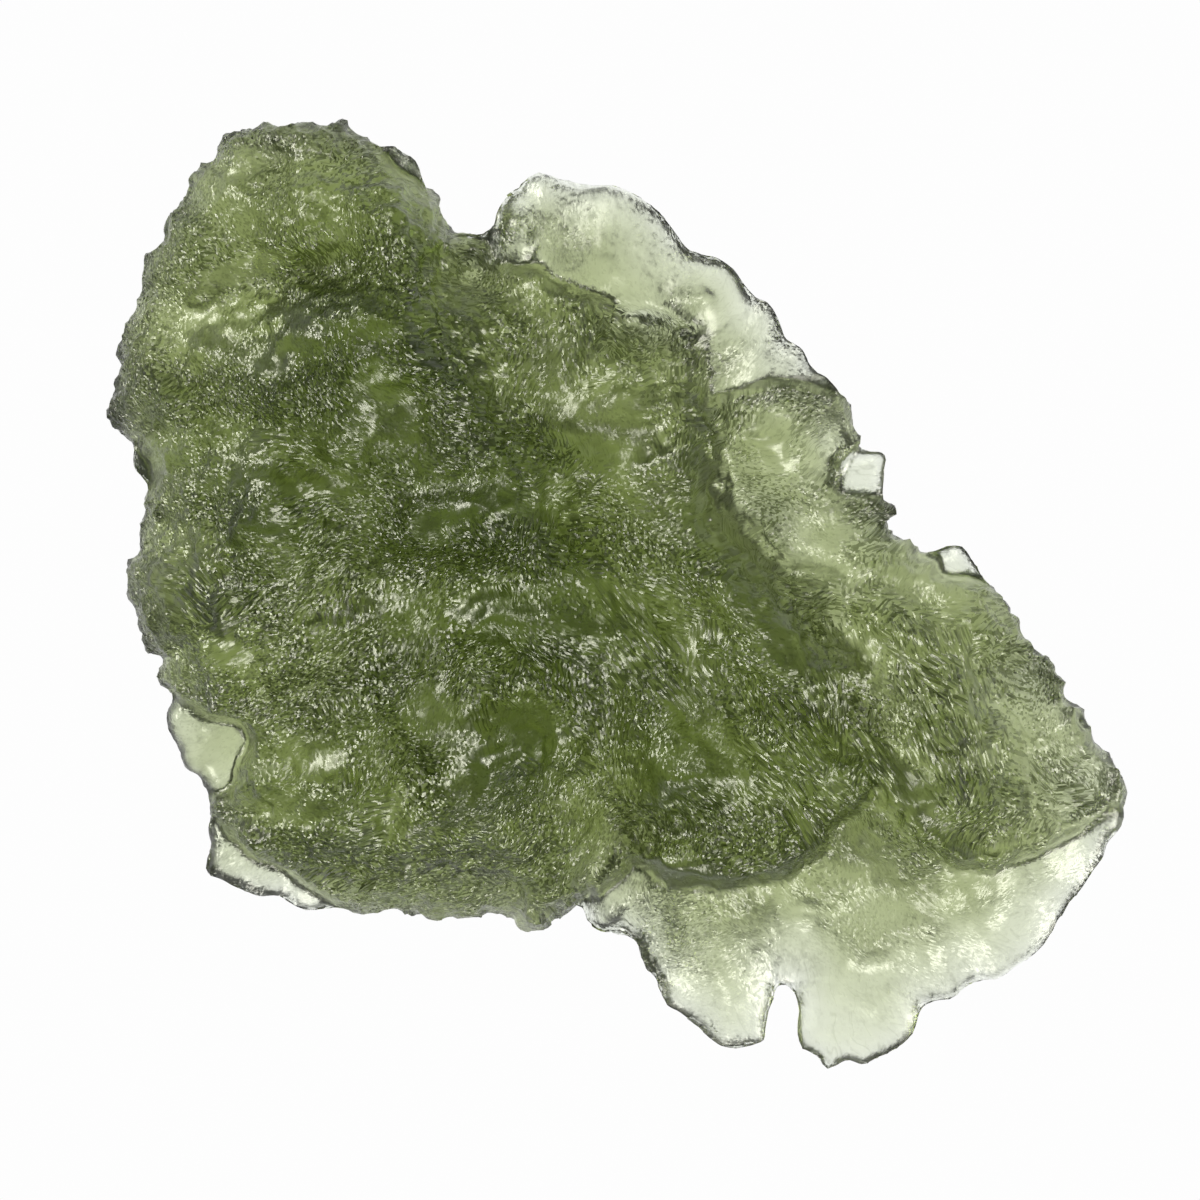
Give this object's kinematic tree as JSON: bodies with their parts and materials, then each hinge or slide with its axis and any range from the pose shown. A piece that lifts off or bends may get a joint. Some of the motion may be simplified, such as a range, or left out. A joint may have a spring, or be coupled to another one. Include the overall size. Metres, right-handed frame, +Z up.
{
  "type": "moldavite",
  "caption": "Flat jagged fragment of green natural glass with a sculpted thick crown, thin ledges and a small flat resting spot.",
  "frame": {"origin": "on the resting surface, under the middle of the stone's bounding box", "axes": "+X along the stone's longest side, +Y across it, +Z up through its thickness, out of the broad sculpted face"},
  "size_m": [0.036, 0.0336, 0.0102],
  "materials": {
    "moldavite_glass": "see-through olive-green natural glass, etched and pitted surface with a wet-looking lustre"
  },
  "bodies": {
    "root": {"moldavite": "moldavite_glass"}
  },
  "joints": []
}
